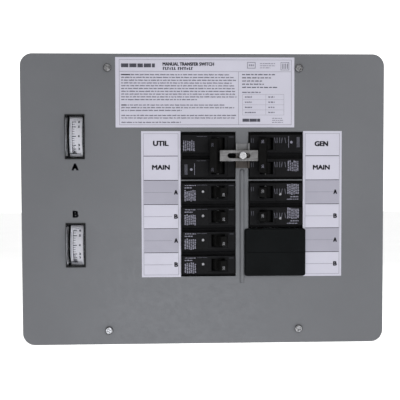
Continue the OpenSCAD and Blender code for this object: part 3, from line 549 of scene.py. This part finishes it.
def label_right_text(line, soft, dark, left, foot, head):
    """Five short lines, a small table of four rows and two columns, and the marks below it."""
    for k, end in enumerate((35, 30.5, 21, 23, 37.5)):
        dark.words(left, left + end, head - 3.1 - 3.3 * k, 0.95, 2.0, 5.0, 0.9)
    soft.words(left, left + 19.5, head - 21.5, 1.1, 2, 5, 0.8)
    table = head - 23.7
    for k in range(5):
        z = table - TABLE_ROW * k
        line.rect(left + 0.4, left + 44.1, z - TABLE_RULE, z + TABLE_RULE)
    for x in (left + 0.5, left + 24.9, left + 44.0):
        line.rect(x - TABLE_RULE, x + TABLE_RULE, table - TABLE_ROW * 4, table)
    for k in range(4):
        z = table - TABLE_ROW * (k + 0.5)
        soft.words(left + 2.9, left + 10.3 + 4 * (k == 3), z, 1.2, 1.5, 3, 0.5)
        soft.words(left + 27.6, left + 34.2, z, 1.2, 1.5, 2.5, 0.7)
    dark.words(left + 0.4, left + 19.0, foot + 7.5, 3.2, 5, 8, 0.4, False)
    for k in range(3):
        soft.words(left + 31.6, left + 43.1, foot + 9.5 - 2.1 * k, 0.6, 1.5, 4, 0.5)


def print_top_label():
    line, soft, dark = (Print(LABEL_FACE - INK_LIFT) for _ in range(3))
    left, right, foot, top = label_lo[0] / MM, label_hi[0] / MM, label_lo[2] / MM, label_hi[2] / MM
    head = top - 14.9
    divide = left + 128.5
    line.frame(left + 3.9, right - 2.9, foot + 2.6, top - 2.4, 0.45)
    line.rect(left + 4.4, right - 3.4, head - RULE, head + RULE)
    line.rect(divide - RULE, divide + RULE, foot + 3.1, head - RULE)
    label_heading(line, soft, dark, left, right, top)
    label_left_text(soft, dark, left, head)
    label_right_text(line, soft, dark, divide + 3.8, foot, head)
    line.build("top_label_lines", INK_LINE)
    soft.build("top_label_text", INK_SOFT)
    dark.build("top_label_bold", INK_BOLD)


# ---------------------------------------------------------------- directory labels
def print_strip(line, dark, grey_cells, x0, x1, words, shift):
    """One directory strip: two headed cells, then four that turn grey and white, lettered A and B.
    shift moves its lettering sideways."""
    half = PITCH / MM / 2
    a, b = x0 + 2.4, x1 - 2.6
    top, bot = strips_hi[2] / MM - 2.4, strips_lo[2] / MM + 2.2
    mid = (x0 + x1) / 2 + shift
    (head, head_w), (main, main_w) = words
    line.rect(a - 0.4, a, bot, top)
    line.rect(b, b + 0.4, bot, top)
    line.rect(a, b, top - 0.35, top)
    line.rect(a, b, bot, bot + 0.35)
    dark.text(head, mid, ROW[0] + 0.5 + 0.45 * shift, 5.4, 0.8, width=head_w, offset=0.0)
    dark.text(main, mid, ROW[1] + 0.9 + 0.3 * shift, 5.0, 0.65, width=main_w, offset=0.0)
    for i in range(1, 6):
        z = ROW[i] + half
        dark.rect(a + 0.1, b - 0.1, z - 0.32, z + 0.32)
    for i in range(2, 6):
        zc = ROW[i]
        if i % 2 == 0:
            grey_cells.rect(a + 0.2, b - 0.2, max(zc - half + 0.45, bot + 0.4), zc + half - 0.45)
        line.rect(a + 0.2, b - 6.4, zc - 0.2, zc + 0.2)
        dark.text("AB"[i % 2], b - 2.3 + 1.6 * shift, zc + 0.1, 4.8, 0.75, width=4.0, offset=0.0)


def print_directory():
    line, dark = Print(LABEL_FACE - INK_LIFT * 2), Print(LABEL_FACE - INK_LIFT * 2)
    grey_cells = Print(LABEL_FACE - INK_LIFT)
    middle = (strips_lo[0] + strips_hi[0]) / 2
    left_xs = [v.co.x for v in NODES["directory_labels"].data.vertices if v.co.x < middle]
    wide = (max(left_xs) - strips_lo[0]) / MM
    x0, x1 = strips_lo[0] / MM, strips_hi[0] / MM
    print_strip(line, dark, grey_cells, x0, x0 + wide, (("UTIL", 16.3), ("MAIN", 18.6)), 0.0)
    print_strip(line, dark, grey_cells, x1 - wide, x1, (("GEN", 14.4), ("MAIN", 18.0)), -1.1)
    line.build("directory_lines", INK_LINE)
    dark.build("directory_letters", INK)
    grey_cells.build("directory_cells", CELL)


def print_meter_letters():
    """The A below the upper meter and the B above the lower one, on the cover."""
    mark = Print(COVER_FACE - INK_LIFT)
    ax, az = centre("meter_a_case")
    mark.text("A", ax, az - 31.3, 7.5, 1.2, width=7.3)
    bx, bz = centre("meter_b_case")
    mark.text("B", bx + 0.1, bz + 32.6, 7.4, 1.2, width=6.2)
    mark.build("meter_letters", INK)


# ---------------------------------------------------------------- breaker prints
# Each distance runs outward from the middle of the bar, for the left column and the right one.
def side(s, d):
    """x of a mark that far out from the bar's middle, on the left (-1) or right (1) column."""
    return BAR_X + s * d


def across(s, d0, d1):
    return tuple(sorted((side(s, d0), side(s, d1))))


def branch_print(block, white, s, zc):
    """A block of small print and a dot. The right column's breakers are the left's turned half round."""
    x0, x1 = across(s, 48.6, 61.0) if s < 0 else across(s, 47.1, 60.0)
    if s < 0:
        z0, z1 = zc - 9.5, zc + 7.7
        block.words(x0 + 0.8, x1, z1 - 0.5, 0.7, 1.4, 3.0, 0.5)
        block.words(x0 + 0.4, x1 - 3.6, z1 - 3.0, 0.9, 1.4, 3.0, 0.5)
        block.columns(x0, x1, z0, z1 - 5.0, 6)
        white.disc(side(s, 41.3), zc + 0.7, 1.3)
    else:
        z0, z1 = zc - 8.0, zc + 9.2
        block.words(x0, x1 - 0.8, z0 + 0.5, 0.7, 1.4, 3.0, 0.5)
        block.words(x0 + 3.6, x1 - 0.4, z0 + 3.0, 0.9, 1.4, 3.0, 0.5)
        block.columns(x0, x1, z0 + 5.0, z1, 6)
        white.disc(side(s, 40.1), zc - 2.1, 1.3)


def main_print_pole(block, s, zc):
    """The main's pole with the small print."""
    x0, x1 = across(s, 49.6, 62.2) if s < 0 else across(s, 47.6, 59.6)
    z0, z1 = (zc - 8.0, zc + 3.9) if s < 0 else (zc - 3.7, zc + 8.1)
    block.columns(x0, x1, z0, z1, 6, 0.42)


def main_code_pole(block, dim, s, zc):
    """The main's pole with the dot, a strip of bars and a fine rule."""
    z = zc + 1.5 * s
    rule = side(s, 50.0 if s < 0 else 48.8)
    block.rect(rule - 0.2, rule + 0.2, z + 6.3, z - 5.8)
    x0, x1 = across(s, 57.3, 60.5)
    for k in range(13):
        dim.rect(x0, x1, z - 5.2 + 0.83 * k, z - 4.75 + 0.83 * k)
    block.disc(side(s, 53.4 if s < 0 else 51.7), z, 1.35)


def handle_side_marks(dim, s, zc, is_main):
    """The small position marks beside a handle."""
    if s < 0:
        dim.words(side(s, 47.6), side(s, 37.0), zc + 7.6, 0.3, 3, 6, 0.6, False)
        dim.words(side(s, 14.0), side(s, 9.0), zc + 7.0, 0.3, 3, 6, 0.6, False)
        return
    top, wide = zc + (6.3 if is_main else 3.6), 0.6
    for k, lean in enumerate((0.9, 0.0, 0.0, -0.9, 0.9)):
        x = side(s, 33.6) + 2.75 * k
        corners = ((x + lean, top - 5.6), (x + lean + wide, top - 5.6), (x + wide, top), (x, top))
        dim.quad([(cx * MM, dim.y, cz * MM) for cx, cz in corners])
    for d in (9.4, 11.4):
        dim.rect(side(s, d), side(s, d + 0.4), zc + 5.5, zc + 1.0)


def print_breakers():
    block, white, dim = (Print(CASE_FACE - INK_LIFT) for _ in range(3))
    for s, rows in ((-1, 6), (1, 4)):
        for i in range(rows):
            if i >= 2:
                branch_print(block, white, s, ROW[i])
            elif (s < 0) == (i == 0):
                main_print_pole(block, s, ROW[i])
            else:
                main_code_pole(block, dim, s, ROW[i])
            handle_side_marks(dim, s, ROW[i], i < 2)
    block.build("breaker_small_print", INK_BLOCK)
    white.build("breaker_prints", INK_WHITE)
    dim.build("breaker_marks", INK_DIM)


PIVOT_OUT = 25.45  # from the bar's middle to a handle's pivot
PIVOT_DEPTH = 0.008  # from the case's face back to it, in metres
TIP_RADIUS = 0.0185  # from the pivot to the handle's end, in metres
HALF_THROW = 18  # degrees that a handle leans to either side


def handle_mark(node, body, s, rows, on, rise, m):
    """The rating numeral on the handle's end, riding with it."""
    tilt = math.radians(HALF_THROW) * (-s if on else s)
    c, q = math.cos(tilt), math.sin(tilt)
    px, py = side(s, PIVOT_OUT) * MM, CASE_FACE + PIVOT_DEPTH
    r = -TIP_RADIUS - INK_LIFT
    p = Print()

    def on_tip(x, z):
        return (px + x * MM * c - r * q, py + x * MM * q + r * c, z * MM)

    rating = "20" if len(rows) == 1 else "30"
    for i in rows:
        p.text(rating, 0.6 * s, ROW[i] + rise, 2.6, 0.25, arc=on_tip, width=3.6, turn=True)
    p.build(node + "_mark", m, body)


def print_handles():
    handle_mark("util_main_handle", "util_handle", -1, (0, 1), False, -1.8, INK_DIM)
    handle_mark("gen_main_handle", "gen_handle", 1, (0, 1), True, 1.6, INK_BLOCK)
    for i in BRANCHES:
        s, row, rise = (-1, i + 1, -2.4) if i <= 4 else (1, i - 3, 0.9)
        handle_mark("branch_%d_handle" % i, "branch_%d_toggle" % i, s, (row,), True, rise, INK_WHITE)


# ---------------------------------------------------------------- meter dials
LONG_TICKS = ((15.9, "6"), (10.3, "5"), (0.3, "4"), (-9.0, "3"), (-13.0, "2"), (-15.4, ""), (-17.2, ""))
SHORT_TICKS = (13.2, 7.9, 5.4, 2.8, -1.9, -4.2, -6.6, -10.4, -11.8, -14.2, -16.3)


def print_dial(letter):
    """Scale, numerals and window glints of one meter, on cylinders around its pointer's pivot."""
    _, py, pz = JOINTS["meter_%s_swing" % letter]["pos_m"]
    mx, mz = centre("meter_%s_case" % letter)

    def wrap(radius, inset=0.0):
        """A map of flat x and z on the cylinder of that radius, sunk by the inset, all in millimetres."""
        reach = (radius - inset) * MM

        def on_arc(x, z):
            t = (z - pz / MM) / radius
            return (x * MM, py - reach * math.cos(t), pz + reach * math.sin(t))
        return on_arc

    card = wrap((py - span("meter_scales")[0][1]) / MM + 0.05)
    skin = wrap((py - span("meter_windows")[0][1]) / MM, 0.02)

    def strip(p, x0, x1, z0, z1, arc=card):
        steps = max(1, int(abs(z1 - z0) / 1.5))
        for q in range(steps):
            a, b = mz + z0 + (z1 - z0) * q / steps, mz + z0 + (z1 - z0) * (q + 1) / steps
            p.quad([arc(mx + x0, a), arc(mx + x1, a), arc(mx + x1, b), arc(mx + x0, b)])

    ticks, pale, glint = Print(), Print(), Print()
    strip(ticks, -2.6, -2.0, -16.5, 16.3)
    strip(pale, -4.6, -4.0, -14.0, 14.5)
    for z, numeral in LONG_TICKS:
        strip(ticks, -2.6, 1.6, z - 0.45, z + 0.45)
        if numeral:
            ticks.text(numeral, mx + 4.6, mz + z + 0.2, 2.6, 0.45, arc=card, width=1.9)
    for z in SHORT_TICKS:
        strip(ticks, -2.5, 0.2, z - 0.26, z + 0.26)
    strip(ticks, -3.9, 6.0, -18.7, -18.1)
    strip(pale, -4.2, 6.0, -19.7, -19.3)
    strip(pale, -1.0, 3.6, 18.0, 18.5)
    # painted highlights down the sides of the clear window, laid on its outer skin
    for x, w in ((-8.5, 0.55), (-7.2, 0.3), (8.5, 0.6)):
        strip(glint, x - w / 2, x + w / 2, -20.5, 20.5, skin)
    glint.build("meter_%s_glint" % letter, GLINT)
    ticks.build("meter_%s_ticks" % letter, INK)
    pale.build("meter_%s_rule" % letter, INK_LINE)


finish_plain_nodes()
soften_front_nodes()
print_top_label()
print_directory()
print_meter_letters()
print_breakers()
print_handles()
for letter in ("a", "b"):
    print_dial(letter)


# ---------------------------------------------------------------- stage and light
FLOOR_DROP = 0.35  # metres from the cover's lower edge to the floor


def add_floor():
    bm = bmesh.new()
    bmesh.ops.create_grid(bm, x_segments=2, y_segments=2, size=9.0)
    mesh = bpy.data.meshes.new("floor")
    bm.to_mesh(mesh)
    bm.free()
    floor = bpy.data.objects.new("floor", mesh)
    floor.location = (0, 0, span("cover_plate")[0][2] - FLOOR_DROP)
    scene.collection.objects.link(floor)
    paint(floor, FLOOR)


def add_world():
    """White surroundings: bright at and below the horizon, brighter behind the object and overhead, and
    dim in front above the horizon."""
    world = bpy.data.worlds.new("studio")
    scene.world = world
    world.use_nodes = True
    nt = world.node_tree
    background = nt.nodes["Background"]
    tc = nt.nodes.new("ShaderNodeTexCoord")
    sep = nt.nodes.new("ShaderNodeSeparateXYZ")
    nt.links.new(tc.outputs["Generated"], sep.inputs["Vector"])

    def ramp(axis, a, b, c, d):
        return remap(nt, sep.outputs[axis], a, b, c, d)

    def combine(operation, a, b):
        node = nt.nodes.new("ShaderNodeMath")
        node.operation = operation
        nt.links.new(a, node.inputs[0])
        nt.links.new(b, node.inputs[1])
        return node.outputs[0]

    near = combine("MAXIMUM", ramp("Z", 0.2, 0.38, 1.02, 0.08), ramp("Y", -0.1, 0.5, 0.0, 1.45))
    nt.links.new(combine("ADD", near, ramp("Z", 0.45, 0.95, 0.0, 0.8)), background.inputs["Strength"])
    background.inputs["Color"].default_value = (1, 1, 1, 1)


def area(name, loc, target, size, power, tint=(1, 1, 1)):
    d = bpy.data.lights.new(name, "AREA")
    d.energy = power
    d.size = size
    d.color = tint
    o = bpy.data.objects.new(name, d)
    o.location = loc
    o.rotation_euler = (Vector(target) - Vector(loc)).to_track_quat("-Z", "Y").to_euler()
    scene.collection.objects.link(o)


add_floor()
add_world()
area("key", (1.5, -2.1, 1.6), (0, -0.1, 0), 0.6, 27)
area("fill", (-0.02, -0.78, -0.22), (0, -0.1, 0), 0.3, 1.35, (0.9, 0.93, 1.0))
area("back", (0.5, 2.2, 1.4), (0, 0, 0), 1.6, 30)
